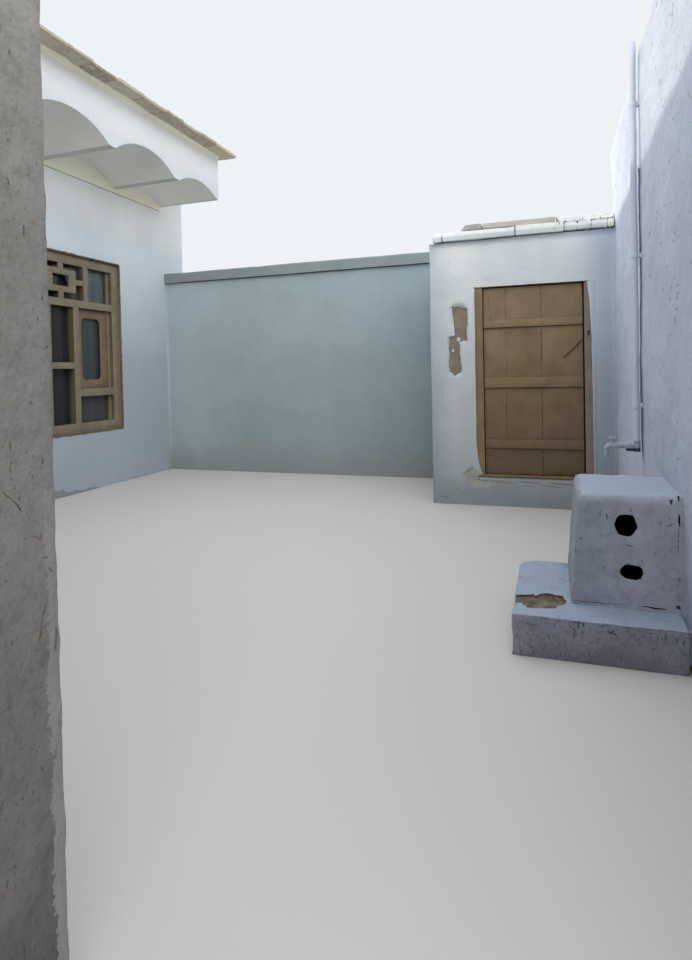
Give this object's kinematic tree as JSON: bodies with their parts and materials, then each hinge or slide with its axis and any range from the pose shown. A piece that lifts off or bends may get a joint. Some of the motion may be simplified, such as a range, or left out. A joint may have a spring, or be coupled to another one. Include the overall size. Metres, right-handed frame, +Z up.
{
  "type": "adobe courtyard house",
  "caption": "Courtyard house of sun-dried brick with a scalloped canopy, a fretwork window, a small store with a boarded door, and yard walls.",
  "frame": {"origin": "on the ground, under the middle of the whole plan", "axes": "+X east, from the main room towards the store's side wall; +Y north, towards the back wall; +Z up"},
  "size_m": [10.702, 7.8, 4.45],
  "materials": {
    "white_plaster": "limewashed mud plaster",
    "rough_plaster": "rough limewashed plaster",
    "mud": "dry mud and straw",
    "concrete": "rough cast",
    "painted_timber": "matt tan paint",
    "door_timber": "weathered tan paint",
    "window_glass": "clear",
    "dark_iron": "rusted",
    "painted_pipe": "limewashed"
  },
  "bodies": {
    "house": {"wing_front_wall": "white_plaster", "wing_north_wall": "white_plaster", "wing_back_wall": "white_plaster", "wing_south_wall": "white_plaster", "canopy": "white_plaster", "back_wall": "white_plaster", "south_wall": "white_plaster", "store_front_left": "white_plaster", "store_front_right": "white_plaster", "store_front_over_door": "white_plaster", "store_sill": "white_plaster", "store_west_wall": "white_plaster", "store_back_wall": "white_plaster", "store_coping_lower": "white_plaster", "back_wall_coping": "white_plaster", "south_wall_coping": "white_plaster", "east_wall": "rough_plaster", "east_wall_north": "rough_plaster", "stand_plinth": "rough_plaster", "masonry_stand": "rough_plaster", "wing_mud_roof": "mud", "store_roof": "mud", "wing_floor": "mud", "store_floor": "mud", "roof_edge_course": "mud", "store_coping_upper": "mud", "wing_roof_slab": "concrete", "window_frame": "painted_timber", "window_lattice": "painted_timber", "casement_south": "painted_timber", "casement_north": "painted_timber", "room_door_frame": "painted_timber", "room_door": "painted_timber", "store_door_frame": "door_timber", "window_glass": "window_glass", "door_hinge_pins": "dark_iron", "door_staple": "dark_iron", "standpipe": "painted_pipe", "pipe_clips": "painted_pipe", "water_tap": "painted_pipe"},
    "store_door": {"store_door_leaf": "door_timber", "store_door_battens": "door_timber", "door_hinge_eyes": "dark_iron", "door_chain": "dark_iron"}
  },
  "joints": [
    {"name": "store_door_hinge", "type": "hinge", "parent": "house", "child": "store_door", "pos_m": [3.5905, 2.0704, 0.6], "axis": [0, 0, 1], "range_deg": [0, 90]}
  ]
}
